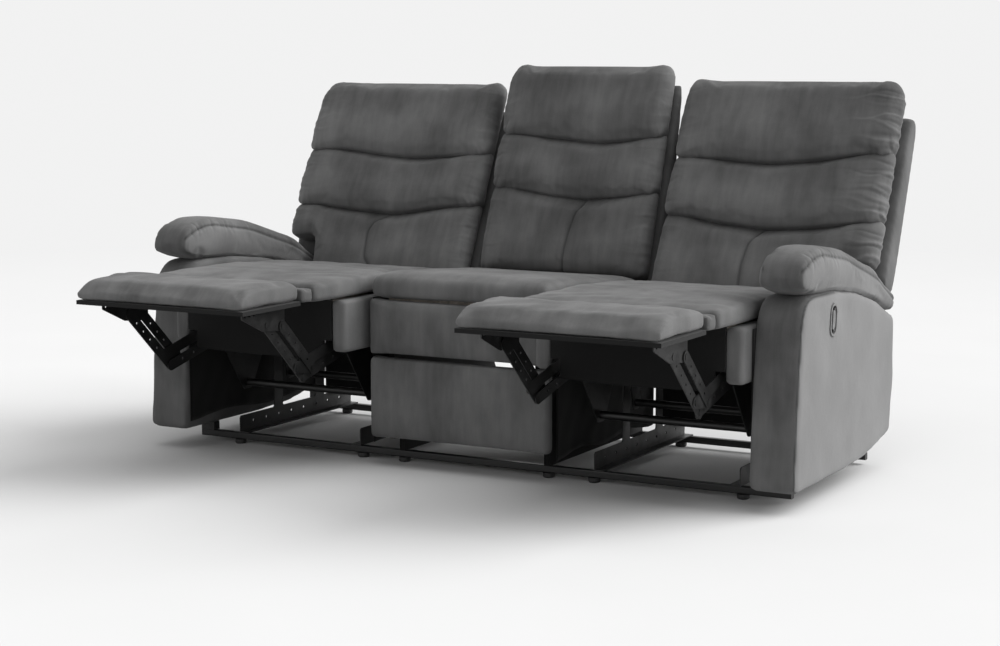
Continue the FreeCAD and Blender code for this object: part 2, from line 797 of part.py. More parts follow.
# Long link from the knee up to the footrest bracket
def frontLink():
    link = drill(linkPlate([kneePivot, bracketFrontPivot], 2), [kneePivot], 2)
    link = holeRow(link, crossPivot, bracketFrontPivot, 2)
    link = link.fuse(rivet(crossPivot, 2, 3, pinRadius))
    return link.fuse(rivet(bracketFrontPivot, 2, 3, pinRadius)).removeSplitter()


# Short link, equal and parallel to the upper stretch of the long one
def crossLink():
    link = drill(linkPlate([tailPivot, bracketRearPivot], 4), [tailPivot, bracketRearPivot], 4)
    return holeRow(link, tailPivot, bracketRearPivot, 4)


# Steel blade from the hinge ear up into a sleeve of the outer back
def backBracket():
    x0 = plateOffset + layerStep
    x1 = x0 + plateThickness
    near = -shellFace + bladeInset
    far = near + bladeWidth
    hub = rod(hubRadius, x0, x1, 0.0, 0.0)
    blade = prism(rectangle(near, far, 20.0, bladeLength, 6.0), x0, x1)
    neck = prism([(-14.0, -10.0, 6.0), (20.0, -16.0, 6.0), (far, 10.0, 6.0), (far, pillowBottom, 6.0),
                  (near, pillowBottom, 6.0)], x0, x1)
    bore = rod(guidePinRadius + pinFit, x0 - 1.0, x1 + 1.0, 0.0, 0.0)
    return hub.fuse(blade).fuse(neck).cut(bore).removeSplitter()


def backBrackets():
    return atSeat(leanBack(bothSides(backBracket()), sideTilt, hingeY, hingeZ))


os.makedirs("parts", exist_ok=True)

# Base
save("front_rail", railTube(0.0))
save("rear_rail", railTube(rearRailY))
save("rail_plugs", railPlugs())
save("glide_feet", glideFeet())
save("arm_brackets", armBrackets())

# Centre seat
save("centre_side_boards", centreSideBoards())
save("centre_deck", centreDeck())
save("centre_kick_panel", centrePanel(kickBottom, kickTop, 10.0))
save("centre_front_panel", centrePanel(kickTop + softGap, deckTop, 4.0))
save("centre_seat_cushion", centreSeatCushion())
save("centre_lower_pillow", centrePillow(pillowBottom, seamLow - softGap, 25.0))
save("centre_middle_pillow", centrePillow(seamLow, seamHigh - softGap, 30.0))
save("centre_head_pillow", centrePillow(seamHigh, centrePillowTop, 35.0))
save("centre_back_shell", centreBackShell())

# Pieces that each recliner or arm repeats, drawn at the right and mirrored to the left
pairs = {
    "base_angles": atSeat(bothSides(baseAngle())),
    "arm": arm(),
    "arm_pad": armPad(),
    "handle_bezel": handleBezel(),
    "release_lever": releaseLever(),
    "seat_chassis": seatChassis(),
    "seat_deck": seatDeck(),
    "front_board": frontBoard(),
    "side_strips": sideStrips(),
    "seat_cushion": seatCushion(),
    "seat_flap": seatFlap(),
    "back_shell": sideBackShell(),
    "back_brackets": backBrackets(),
    "lower_pillow": sideLowerPillow(),
    "middle_pillow": sidePillow(seamLow, seamHigh - softGap, 30.0),
    "head_pillow": sidePillow(seamHigh, pillowTop, 35.0),
    "rear_links": atSeat(bothSides(rearLink())),
    "control_links": atSeat(bothSides(controlLink())),
    "front_links": atSeat(bothSides(frontLink())),
    "cross_links": atSeat(bothSides(crossLink())),
    "footrest_brackets": atSeat(bothSides(footrestBracket())),
    "footrest_board": footrestBoard(),
    "footrest_pad": footrestPad(),
}
for pieceName, piece in pairs.items():
    save("right_" + pieceName, piece)
    save("left_" + pieceName, mirrored(piece))
print("origin", round(originY, 3))
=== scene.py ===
import bpy, bmesh, math
import numpy as np
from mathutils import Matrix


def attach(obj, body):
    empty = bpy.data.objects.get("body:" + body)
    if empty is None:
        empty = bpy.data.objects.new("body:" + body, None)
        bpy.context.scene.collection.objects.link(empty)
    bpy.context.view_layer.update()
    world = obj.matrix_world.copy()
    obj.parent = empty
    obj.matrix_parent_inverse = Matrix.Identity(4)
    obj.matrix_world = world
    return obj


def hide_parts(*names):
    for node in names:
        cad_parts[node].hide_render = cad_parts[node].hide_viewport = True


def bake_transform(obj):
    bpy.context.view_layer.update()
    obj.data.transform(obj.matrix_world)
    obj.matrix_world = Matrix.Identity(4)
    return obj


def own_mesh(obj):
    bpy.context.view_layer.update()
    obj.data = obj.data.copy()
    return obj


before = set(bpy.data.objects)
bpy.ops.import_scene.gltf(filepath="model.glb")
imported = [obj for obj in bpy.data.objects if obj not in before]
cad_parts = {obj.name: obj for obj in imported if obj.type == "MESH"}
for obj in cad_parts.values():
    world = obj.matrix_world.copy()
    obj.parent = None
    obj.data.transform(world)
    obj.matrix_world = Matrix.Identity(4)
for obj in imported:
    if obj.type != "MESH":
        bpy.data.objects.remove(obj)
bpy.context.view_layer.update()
print("stage: frame loaded,", len(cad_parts), "nodes")

tau = 2 * math.pi
rail = 0.074746          # the drawing's Y zero sits this far behind the front rail's line


# ---- plain helpers on arrays ----

def ease(t):             # smooth step from 0 to 1
    t = np.clip(t, 0, 1)
    return t * t * (3 - 2 * t)


def power(c, e):         # signed power, for superellipse corners
    return np.sign(c) * np.abs(c) ** e


def curve(points):       # smooth curve through control points, as a function of one variable
    px, py = np.array(points, float).T
    fine = np.linspace(px[0], px[-1], 240)
    rough = np.interp(fine, px, py)
    width = max(3, int(240 * 0.09))
    kernel = np.hanning(2 * width + 1); kernel /= kernel.sum()
    padded = np.r_[2 * rough[0] - rough[width:0:-1], rough, 2 * rough[-1] - rough[-2:-width - 2:-1]]
    soft = np.convolve(padded, kernel, "valid")
    return lambda x: np.interp(x, fine, soft)


def roundedLoop(corners, count=160):
    # closed outline: each corner (a, b, radius) is an arc between the points where its circle
    # touches both sides
    pts = np.array([c[:2] for c in corners], float)
    radii = np.array([c[2] for c in corners], float)
    before, after = np.roll(pts, 1, 0) - pts, np.roll(pts, -1, 0) - pts
    la, lb = np.linalg.norm(before, axis=1), np.linalg.norm(after, axis=1)
    ua, ub = before / la[:, None], after / lb[:, None]
    half = 0.5 * np.arccos(np.clip((ua * ub).sum(1), -1, 1))
    reach = np.minimum(radii / np.tan(half), 0.48 * np.minimum(la, lb))
    t = np.linspace(0, 1, 14)[None, :, None]
    p0, p2 = pts + ua * reach[:, None], pts + ub * reach[:, None]
    arcs = (1 - t) ** 2 * p0[:, None] + 2 * t * (1 - t) * pts[:, None] + t ** 2 * p2[:, None]
    path = arcs.reshape(-1, 2)
    path = np.vstack([path, path[:1]])
    step = np.r_[0, np.cumsum(np.linalg.norm(np.diff(path, axis=0), axis=1))]
    want = np.linspace(0, step[-1], count, endpoint=False)
    return np.stack([np.interp(want, step, path[:, k]) for k in (0, 1)], 1)


# ---- meshes ----

def addMesh(name, points, faces, smooth=True):
    mesh = bpy.data.meshes.new(name)
    mesh.from_pydata(np.asarray(points, float).reshape(-1, 3).tolist(), [], faces)
    mesh.update()
    work = bmesh.new(); work.from_mesh(mesh)
    bmesh.ops.remove_doubles(work, verts=work.verts, dist=1e-6)
    bmesh.ops.recalc_face_normals(work, faces=work.faces)
    work.to_mesh(mesh); work.free()
    if smooth:
        mesh.polygons.foreach_set("use_smooth", np.ones(len(mesh.polygons), bool))
    piece = bpy.data.objects.new(name, mesh)
    bpy.context.scene.collection.objects.link(piece)
    return piece


def gridFaces(rows, cols, closed):
    i, j = np.meshgrid(np.arange(rows - 1), np.arange(cols if closed else cols - 1), indexing="ij")
    k = (j + 1) % cols
    low, high = i * cols, (i + 1) * cols
    return np.stack([low + j, low + k, high + k, high + j], -1).reshape(-1, 4).tolist()


def ringLoft(name, rings, smooth=True):
    # rings (rows, around, 3) joined row to row, with a fan over the first and the last
    rows, cols = rings.shape[:2]
    faces = gridFaces(rows, cols, True)
    points = np.vstack([rings.reshape(-1, 3), rings[0].mean(0), rings[-1].mean(0)])
    j = np.arange(cols); k = (j + 1) % cols
    a, b, last = rows * cols, rows * cols + 1, (rows - 1) * cols
    faces += np.stack([np.full(cols, a), k, j], 1).tolist()
    faces += np.stack([np.full(cols, b), last + j, last + k], 1).tolist()
    return addMesh(name, points, faces, smooth)


def coordsOf(piece):
    co = np.empty(len(piece.data.vertices) * 3)
    piece.data.vertices.foreach_get("co", co)
    return co.reshape(-1, 3)


def normalsOf(piece):
    no = np.empty(len(piece.data.vertices) * 3)
    piece.data.vertices.foreach_get("normal", no)
    return no.reshape(-1, 3)


def setCoords(piece, points):
    piece.data.vertices.foreach_set("co", np.ascontiguousarray(points, dtype=float).ravel())
    piece.data.update()


def setShade(piece, values):     # 0 is plain cloth, below 0 painted shade in a crease, seam or recess, above 0 painted light on a ridge or a lit side, and the lighter side panels
    layer = piece.data.attributes.get("shade") or piece.data.attributes.new("shade", "FLOAT", "POINT")
    layer.data.foreach_set("value", np.clip(values, -1, 1).astype(np.float32))


def applyModifiers(piece):
    graph = bpy.context.evaluated_depsgraph_get()
    made = bpy.data.meshes.new_from_object(piece.evaluated_get(graph))
    piece.modifiers.clear()
    old = piece.data
    piece.data = made
    made.name = piece.name
    bpy.data.meshes.remove(old)
    made.polygons.foreach_set("use_smooth", np.ones(len(made.polygons), bool))


def evenMesh(piece, voxel):      # the same form in an even mesh
    mod = piece.modifiers.new("even", "REMESH")
    mod.mode, mod.voxel_size, mod.use_smooth_shade = "VOXEL", voxel, True
    applyModifiers(piece)


def subdivide(piece, levels=1):
    mod = piece.modifiers.new("smooth", "SUBSURF")
    mod.levels = mod.render_levels = levels
    applyModifiers(piece)


# ---- stuffed shapes ----

def softBar(name, section, place, span, ends, crown=0.004, columns=56):
    # a closed section carried along X; near each end the section is drawn in along a quarter circle,
    # then shrinks to the middle of a slightly crowned end
    (x0, x1), (r0, r1) = span, ends
    cap = np.linspace(0.06, 1, 8)[:-1]
    turn = np.linspace(math.pi / 2, 0, 9)
    middle = np.linspace(x0 + r0, x1 - r1, columns)[1:-1]
    xs = np.r_[x0 - crown * (1 - cap ** 2), x0 + r0 * (1 - np.sin(turn)), middle,
               x1 - r1 * (1 - np.sin(turn[::-1])), x1 + crown * (1 - cap[::-1] ** 2)]
    inset = np.r_[np.full(7, r0), r0 * (1 - np.cos(turn)), np.zeros(len(middle)),
                  r1 * (1 - np.cos(turn[::-1])), np.full(7, r1)]
    shrink = np.r_[cap, np.ones(len(turn) * 2 + len(middle)), cap[::-1]]
    loop = section(np.clip(xs, x0, x1))                       # (rows, around, 2)
    low, high = loop.min(1, keepdims=True), loop.max(1, keepdims=True)
    centre, half = 0.5 * (low + high), 0.5 * (high - low)
    factor = (1 - inset[:, None, None] / half) * shrink[:, None, None]
    loop = centre + (loop - centre) * np.clip(factor, 0.01, 1)
    rings = place(np.broadcast_to(xs[:, None], loop.shape[:2]), loop[..., 0], loop[..., 1])
    return ringLoft(name, rings)


def upright(x, y, z):    # a section drawn in Y and Z, in the drawing's frame
    return np.stack([x, y - rail, z], -1)


puffing = []             # pieces waiting for their cloth run
puff = {"frames": 20, "quality": 4, "mass": 0.3, "pressure": 4.0, "stretch": 12, "shear": 5, "bend": 0.6}


def plump(piece, voxel=0.006, cap=0.010, draw=0.004):
    # even mesh, drawn in a little, to be blown up by the cloth run
    evenMesh(piece, voxel)
    setCoords(piece, coordsOf(piece) - draw * normalsOf(piece))
    puffing.append((piece, cap))
    return piece


def runCloth():
    if not puffing:
        return
    scene = bpy.context.scene
    scene.frame_set(1)
    for piece, cap in puffing:
        cloth = piece.modifiers.new("puff", "CLOTH")
        s = cloth.settings
        s.quality, s.mass = puff["quality"], puff["mass"]
        s.use_pressure, s.uniform_pressure_force = True, puff["pressure"]
        s.tension_stiffness = s.compression_stiffness = puff["stretch"]
        s.shear_stiffness, s.bending_stiffness = puff["shear"], puff["bend"]
        s.effector_weights.gravity = 0
        cloth.collision_settings.use_collision = False
        cloth.collision_settings.use_self_collision = False
        cloth.point_cache.frame_start, cloth.point_cache.frame_end = 1, puff["frames"]
    rest = [coordsOf(piece) for piece, cap in puffing]
    for number in range(1, puff["frames"] + 1):
        scene.frame_set(number)
        bpy.context.view_layer.update()
    graph = bpy.context.evaluated_depsgraph_get()
    for (piece, cap), start in zip(puffing, rest):
        shown = piece.evaluated_get(graph).to_mesh()
        moved = np.empty(len(shown.vertices) * 3)
        shown.vertices.foreach_get("co", moved)
        piece.evaluated_get(graph).to_mesh_clear()
        step = moved.reshape(-1, 3) - start
        length = np.linalg.norm(step, axis=1, keepdims=True) + 1e-9
        piece.modifiers.clear()
        setCoords(piece, start + step * np.minimum(1, cap / length))
    scene.frame_set(1)
    print("stage: cloth run over", len(puffing), "pieces")
    puffing.clear()


def folds(inward, along, spec):
    # gathers: each is a ridge across the cloth, highest at the gathered edge and fading inwards,
    # its height a bell in the distance from its own slanting line
    rng = np.random.default_rng(spec["seed"])
    total = np.zeros_like(inward)
    low, high = spec["range"]
    for number in range(spec["count"]):
        at = low + (high - low) * (number + rng.uniform(0.15, 0.85)) / spec["count"]
        width, length = rng.uniform(0.0032, 0.0062), spec["length"] * rng.uniform(0.5, 1.25)
        slope = rng.uniform(-1, 1) * spec["slope"]
        height = rng.uniform(0.4, 1.0) * rng.choice([-1, 1], p=[0.35, 0.65])
        line = along - at - slope * inward - 0.004 * np.sin(inward * 60 + number)
        total += height * np.exp(-(line / width) ** 2) * np.exp(-(np.maximum(inward, 0) / length) ** 2)
    return total


# ---- shader maths ----

class Socket:            # wraps a socket so that sums on it add Math nodes
    def __init__(self, finish, socket):
        self.finish, self.socket = finish, socket

    def op(self, kind, a, b):
        return self.finish.node("ShaderNodeMath", {"operation": kind}, {0: a, 1: b})

    def __add__(self, other): return self.op("ADD", self, other)
    def __radd__(self, other): return self.op("ADD", other, self)
    def __sub__(self, other): return self.op("SUBTRACT", self, other)
    def __rsub__(self, other): return self.op("SUBTRACT", other, self)
    def __mul__(self, other): return self.op("MULTIPLY", self, other)
    def __rmul__(self, other): return self.op("MULTIPLY", other, self)


class Finish:            # one material and the means to add nodes to it
    def __init__(self, name):
        self.material = bpy.data.materials.new(name)
        self.material.use_nodes = True
        self.tree = self.material.node_tree
        self.tree.nodes.clear()

    def node(self, kind, settings=None, inputs=None, output=0):
        made = self.tree.nodes.new(kind)
        for key, value in (settings or {}).items():
            if key == "stops":
                while len(made.color_ramp.elements) < len(value):
                    made.color_ramp.elements.new(0.5)
                for element, (place, colour) in zip(made.color_ramp.elements, value):
                    element.position, element.color = place, colour
            else:
                setattr(made, key, value)
        for key, value in (inputs or {}).items():
            if isinstance(value, Socket):
                self.tree.links.new(value.socket, made.inputs[key])
            else:
                made.inputs[key].default_value = value
        return Socket(self, made.outputs[output])

    def place(self, scale=(1, 1, 1)):        # the object's own coordinates, stretched
        spot = self.node("ShaderNodeTexCoord", output=3)
        return self.node("ShaderNodeMapping", {}, {"Vector": spot, "Scale": scale})

    def noise(self, size, detail=3, stretch=(1, 1, 1), rough=0.5):
        return self.node("ShaderNodeTexNoise", {}, {"Vector": self.place(stretch), "Scale": 1 / size,
                                                    "Detail": detail, "Roughness": rough})

    def clamp(self, value, low=0.0, high=1.0, toLow=0.0, toHigh=1.0):
        return self.node("ShaderNodeMapRange", {"clamp": True},
                         {0: value, 1: low, 2: high, 3: toLow, 4: toHigh})

    def blend(self, amount, first, second):
        return self.node("ShaderNodeMix", {"data_type": "RGBA"}, {0: amount, 6: first, 7: second}, output=2)

    def bump(self, height, strength, distance):
        return self.node("ShaderNodeBump", {}, {"Height": height, "Strength": strength, "Distance": distance})

    def shader(self, constants, inputs):
        surface = self.node("ShaderNodeBsdfPrincipled", {}, {**constants, **inputs})
        out = self.tree.nodes.new("ShaderNodeOutputMaterial")
        self.tree.links.new(surface.socket, out.inputs["Surface"])
        return self.material


def grey(level, warm=0.0):   # sRGB level 0-255 as a linear colour
    c = level / 255
    v = c / 12.92 if c <= 0.04045 else ((c + 0.055) / 1.055) ** 2.4
    return (v * (1 + warm), v, v * (1 - warm), 1)


def velvetFinish(name, dark, light, panel_and_painted_light):
    # short pile: broad patches where the pile lies one way or the other, painted into the colour as lighter and
    # darker sheen, streaks down the cloth, fine nap
    f = Finish(name)
    patches = f.clamp(f.noise(0.16, 3, (1, 1, 0.7), 0.55), 0.36, 0.64)
    streaks = f.clamp(f.noise(0.022, 4, (1, 0.25, 0.16), 0.6), 0.3, 0.7)
    nap = f.noise(0.0016, 2, (1, 1, 1), 0.6)
    shade = f.node("ShaderNodeAttribute", {"attribute_name": "shade"}, output=2)
    amount = patches * 0.52 + streaks * 0.26 + nap * 0.22
    colour = f.blend(f.clamp(amount, 0.1, 0.9), dark, light)
    # positive shade blends towards a lighter grey: painted light on lit sides, crests and gather ridges, and in
    # part the lighter side panels of the arms and pads
    colour = f.blend(f.clamp(shade, 0.0, 1.0, 0.0, 0.75), colour, panel_and_painted_light)
    # negative shade blends towards near black: painted shade in creases, seams, the handle's cup and along
    # undersides
    colour = f.blend(f.clamp(shade * -1.0, 0.0, 1.0, 0.0, 0.88), colour, grey(16))
    weave = f.noise(0.0009, 1)
    height = nap * 0.6 + weave * 0.25 + f.noise(0.012, 3) * 1.2
    return f.shader({"Sheen Weight": 0.30, "Sheen Roughness": 0.42, "Sheen Tint": grey(170),
                     "Specular IOR Level": 0.12},
                    {"Base Color": colour, "Roughness": f.clamp(nap, 0.3, 0.7, 0.82, 0.97),
                     "Normal": f.bump(height, 0.35, 0.0012)})


def steelFinish(name, base, worn, rough):
    # powder coat: orange-peel bump, faint dust in patches, small bright rubs
    f = Finish(name)
    dust = f.clamp(f.noise(0.035, 4), 0.45, 0.75)
    rub = f.clamp(f.noise(0.004, 3, (1, 0.4, 1)), 0.66, 0.74)
    colour = f.blend(dust * 0.5, base, worn)
    colour = f.blend(rub * 0.25, colour, grey(84))
    return f.shader({"Specular IOR Level": 0.5},
                    {"Base Color": colour, "Roughness": f.clamp(dust, 0, 1, rough, rough + 0.16),
                     "Metallic": rub * 0.5, "Normal": f.bump(f.noise(0.0014, 2), 0.2, 0.0004)})


def plasticFinish(name, base, lit, rough):
    f = Finish(name)
    grain = f.noise(0.0011, 2)
    haze = f.clamp(f.noise(0.02, 3), 0.35, 0.7)
    return f.shader({}, {"Base Color": f.blend(haze * 0.6, base, lit),
                         "Roughness": f.clamp(grain, 0.3, 0.7, rough, rough + 0.15),
                         "Normal": f.bump(grain, 0.18, 0.0003)})


def dustClothFinish(name, base, lit):
    # thin non-woven: embossed dots in rows, cloudy fibres
    f = Finish(name)
    dots = f.node("ShaderNodeTexVoronoi", {"feature": "F1"},
                  {"Vector": f.place(), "Scale": 420.0, "Randomness": 0.15})
    fibres = f.noise(0.006, 4, (1, 1, 1), 0.7)
    colour = f.blend(f.clamp(fibres, 0.35, 0.7), base, lit)
    return f.shader({"Sheen Weight": 0.1, "Specular IOR Level": 0.2},
                    {"Base Color": colour, "Roughness": f.clamp(fibres, 0.2, 0.8, 0.78, 0.95),
                     "Normal": f.bump(dots + fibres * 0.6, 0.3, 0.0005)})


def woodFinish(name):
    f = Finish(name)
    rings = f.noise(0.02, 4, (1, 0.06, 1), 0.6)
    colour = f.blend(f.clamp(rings, 0.35, 0.65), grey(96, 0.12), grey(142, 0.14))
    return f.shader({}, {"Base Color": colour, "Roughness": f.clamp(rings, 0, 1, 0.55, 0.8),
                         "Normal": f.bump(rings, 0.2, 0.0006)})


finish = {
    # grey(134) is the painted light, and the lighter side panels, that positive shade blends towards
    "velvet": velvetFinish("greyVelvet", grey(70), grey(102), grey(134)),
    "steel": steelFinish("blackPowderCoat", grey(9), grey(20), 0.40),
    "plastic": plasticFinish("blackMouldedPlastic", grey(24), grey(34), 0.45),
    "handle": plasticFinish("greyMouldedPlastic", grey(92), grey(118), 0.38),
    "dustCloth": dustClothFinish("blackDustCloth", grey(9), grey(18)),
    "wood": woodFinish("frameTimber"),
}
print("stage: finishes made")


def dress(piece, look, body):
    piece.data.materials.clear()
    piece.data.materials.append(finish[look])
    if body:
        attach(piece, body)
    return piece


# ---- backs: V runs up a leaned back and W forward of its hinge ----

def leaned(tilt, pivotY, pivotZ):
    s, c = math.sin(math.radians(tilt)), math.cos(math.radians(tilt))

    def place(x, v, w):
        return np.stack([x, pivotY + v * s - w * c - rail, pivotZ + v * c + w * s], -1)

    def back(points):
        y, z = points[:, 1] + rail - pivotY, points[:, 2] - pivotZ
        return points[:, 0], y * s + z * c, -y * c + z * s

    return place, back


sidePlace, sideLocal = leaned(25.0, 0.410, 0.335)
centrePlace, centreLocal = leaned(18.0, 0.461, 0.3745)
shellPlace = leaned(13.0, 0.4553, 0.3725)[0]

# seam heights across each back, as (place across, height up the back)
seams = {
    "right": {
        "high": curve([(0.262, 0.462), (0.392, 0.456), (0.546, 0.446), (0.676, 0.458), (0.80, 0.480),
                       (0.895, 0.488)]),
        "low": curve([(0.262, 0.303), (0.335, 0.297), (0.426, 0.280), (0.562, 0.268), (0.70, 0.276),
                      (0.80, 0.294), (0.90, 0.310)]),
        "seam": curve([(0.060, 0.534), (0.100, 0.528), (0.167, 0.526), (0.221, 0.532), (0.262, 0.553),
                       (0.285, 0.580)]),
        "top": 0.692},
    "left": {
        "high": curve([(0.235, 0.460), (0.40, 0.440), (0.52, 0.433), (0.64, 0.442), (0.74, 0.454),
                       (0.90, 0.455)]),
        "low": curve([(0.253, 0.306), (0.385, 0.291), (0.52, 0.266), (0.60, 0.267), (0.709, 0.275),
                      (0.80, 0.284), (0.90, 0.288)]),
        "seam": curve([(0.060, 0.552), (0.083, 0.560), (0.123, 0.596), (0.206, 0.606), (0.245, 0.590),
                       (0.275, 0.540)]),
        "top": 0.676},
    "centre": {
        "high": curve([(-0.27, 0.460), (-0.183, 0.455), (-0.054, 0.445), (0.064, 0.436), (0.16, 0.446),
                       (0.27, 0.463)]),
        "low": curve([(-0.27, 0.307), (-0.202, 0.303), (-0.056, 0.284), (0.041, 0.277), (0.15, 0.287),
                      (0.27, 0.305)]),
        "seam": curve([(0.060, 0.006), (0.12, 0.010), (0.18, 0.016), (0.23, 0.024), (0.285, 0.046)]),
        "top": 0.664},
}

# over: how far a tier reaches up behind the next one; under: how far its lip hangs below the seam
tierShape = {"around": 104, "rear": -0.026, "mean": 0.20, "lip": 0.014, "over": 0.016, "under": 0.012}


def tierSection(bottom, top, front, crest):
    # one closed outline drawn for a mean height and stretched between the two seams:
    # a lip that hangs over the tier below, a belly a third of the way up, and a face that falls back to the top
    mean, rear = tierShape["mean"], tierShape["rear"]
    loop = roundedLoop([(0.0, rear, 0.010), (0.0, front - 0.004, tierShape["lip"]),
                        (0.36 * mean, front + 0.003, 0.20), (0.84 * mean, 0.5 * (front + crest), 0.10),
                        (mean, crest - 0.012, 0.024), (mean, rear, 0.012)], tierShape["around"])

    def section(x):
        low, high = bottom(x)[:, None], top(x)[:, None]
        v = low + (high - low) * (loop[:, 0] / mean)[None, :]
        w = loop[:, 1][None, :] + 0 * v
        return np.stack([v, w], -1)

    return section


def backPillows(side, sign, span, place):
    s = seams[side]
    x0, x1 = span
    mid = 0.5 * (x0 + x1)
    outer, inner = (0.062, 0.034) if side != "centre" else (0.052, 0.052)
    a, b = (inner, outer) if sign > 0 else (outer, inner)

    def across(x):                       # seams are given at positive X for the outer backs
        return np.abs(x) if side != "centre" else x

    def corner(x):                       # how far a rounded upper corner falls, near both ends
        left, right = np.clip(1 - (x - x0) / a, 0, 1), np.clip(1 - (x1 - x) / b, 0, 1)
        return a * 0.85 * (1 - np.sqrt(1 - left ** 2)) + b * 0.85 * (1 - np.sqrt(1 - right ** 2))

    def foot(x):                         # the lower pillow steps up over the arm's pillow
        step = 0 if side == "centre" else 0.122 * ease((np.abs(x) - 0.762) / 0.030)
        return 0.060 + step + 0 * x

    def head(x):
        return s["top"] - corner(x) + 0.004 * np.cos((x - mid) * 4)

    def seamAt(name, shift):
        return lambda x: s[name](across(x)) + shift

    over, under = tierShape["over"], tierShape["under"]
    fall = 0.016 if side == "centre" else 0.0
    sections = {
        "head": tierSection(seamAt("high", -under), head, 0.050 - fall, 0.034 - fall),
        "middle": tierSection(seamAt("low", -under), seamAt("high", over), 0.047 - 0.5 * fall, 0.030 - fall),
        "lower": tierSection(foot, seamAt("low", over), 0.043, 0.028),
    }
    tiers = {}
    for tier, section in sections.items():
        drawn = softBar(f"{side}_{tier}_pillow_cover", section, place, span, (0.030, 0.030), crown=0.003)
        tiers[tier] = plump(drawn, 0.0074, 0.009, 0.003)
    return tiers


backSpan = (0.2665, 0.884)
centreHalf = 0.259
backs = {
    "right": backPillows("right", 1, backSpan, sidePlace),
    "left": backPillows("left", -1, (-backSpan[1], -backSpan[0]), sidePlace),
    "centre": backPillows("centre", 1, (-centreHalf, centreHalf), centrePlace),
}
print("stage: back pillows drawn")


# ---- seats and footrests, sections in Y and Z ----

def outlineSection(corners, count=120):
    loop = roundedLoop(corners, count)
    return lambda x: np.broadcast_to(loop[None], (len(x),) + loop.shape).copy()


footrestLoop = [(-0.601, 0.4450, 0.003), (-0.3535, 0.4450, 0.004), (-0.3535, 0.4810, 0.010),
                (-0.380, 0.4900, 0.05), (-0.470, 0.4960, 0.20), (-0.560, 0.4890, 0.05), (-0.600, 0.4640, 0.016)]
gussetLoop = [(-0.3515, 0.4400, 0.008), (-0.3050, 0.4380, 0.006), (-0.3050, 0.4750, 0.012),
              (-0.3280, 0.4700, 0.05), (-0.3515, 0.4765, 0.010)]
seatLoop = [(-0.3080, 0.4350, 0.010), (-0.1860, 0.4315, 0.40), (0.375, 0.4290, 0.010), (0.375, 0.4530, 0.016),
            (0.150, 0.4750, 0.40), (-0.040, 0.4840, 0.30), (-0.200, 0.4820, 0.30), (-0.3080, 0.4795, 0.016)]
centreSeatLoop = [(-0.100, 0.4290, 0.010), (0.425, 0.4290, 0.010), (0.425, 0.4540, 0.014),
                  (0.150, 0.4770, 0.40), (-0.030, 0.4880, 0.24), (-0.101, 0.4820, 0.040)]
panelLoop = [(-0.0985, 0.2845, 0.006), (-0.060, 0.2845, 0.004), (-0.060, 0.4275, 0.004),
             (-0.0985, 0.4275, 0.006)]
kickLoop = [(-0.0985, 0.0700, 0.014), (-0.060, 0.0700, 0.004), (-0.060, 0.2828, 0.004),
            (-0.0985, 0.2828, 0.010)]

# each cover: outline, half width, roundness and crown of its ends, voxel, cap and draw of its cloth run
sidePlan = {"footrest": ("footrest_cover", footrestLoop, 0.2530, 0.012, 0.001, (0.0076, 0.007, 0.003)),
            "flap": ("flap_gusset", gussetLoop, 0.2500, 0.008, 0.001, (0.0050, 0.002, 0.001)),
            "seat": ("seat_cover", seatLoop, 0.2585, 0.014, 0.002, (0.0084, 0.006, 0.003))}
centrePlan = {"seat": ("seat_cover", centreSeatLoop, 0.2580, 0.016, 0.003, (0.0080, 0.008, 0.003)),
              "panel": ("panel_cover", panelLoop, 0.2580, 0.012, 0.002, (0.0060, 0.004, 0.002)),
              "kick": ("kick_cover", kickLoop, 0.2580, 0.012, 0.002, (0.0078, 0.004, 0.002))}
seatX = 0.525            # an end seat's middle
seatPieces = {}
for side, mid, plan in (("right", seatX, sidePlan), ("left", -seatX, sidePlan), ("centre", 0.0, centrePlan)):
    for part, (name, corners, half, bend, crown, run) in plan.items():
        drawn = softBar(f"{side}_{name}", outlineSection(corners), upright, (mid - half, mid + half),
                        (bend, bend), crown)
        seatPieces[side, part] = plump(drawn, *run)


# ---- arms and their pillows ----

armLoop = [(-0.151, 0.052, 0.020), (-0.134, 0.296, 0.9), (-0.112, 0.4935, 0.088), (0.088, 0.4905, 0.4),
           (0.243, 0.4725, 0.4), (0.394, 0.4365, 0.4), (0.531, 0.3825, 0.016), (0.541, 0.217, 0.4),
           (0.522, 0.091, 0.014), (0.333, 0.057, 0.3), (0.195, 0.052, 0.3)]
padLoop = [(-0.062, 0.4965, 0.08), (0.088, 0.4915, 0.4), (0.243, 0.4735, 0.4), (0.394, 0.4375, 0.4),
           (0.533, 0.3835, 0.016), (0.537, 0.4250, 0.020), (0.389, 0.5130, 0.2), (0.165, 0.5780, 0.4),
           (-0.026, 0.6030, 0.13), (-0.114, 0.5760, 0.06), (-0.138, 0.5120, 0.030)]
armX = (0.7878, 0.9030)
padX = (0.7900, 0.9080)
handle = {"y": 0.077, "z": 0.425, "tilt": -6.0, "width": 0.0395, "height": 0.0715, "depth": 0.026,
          "face": 0.9035, "beyond": 0.912}


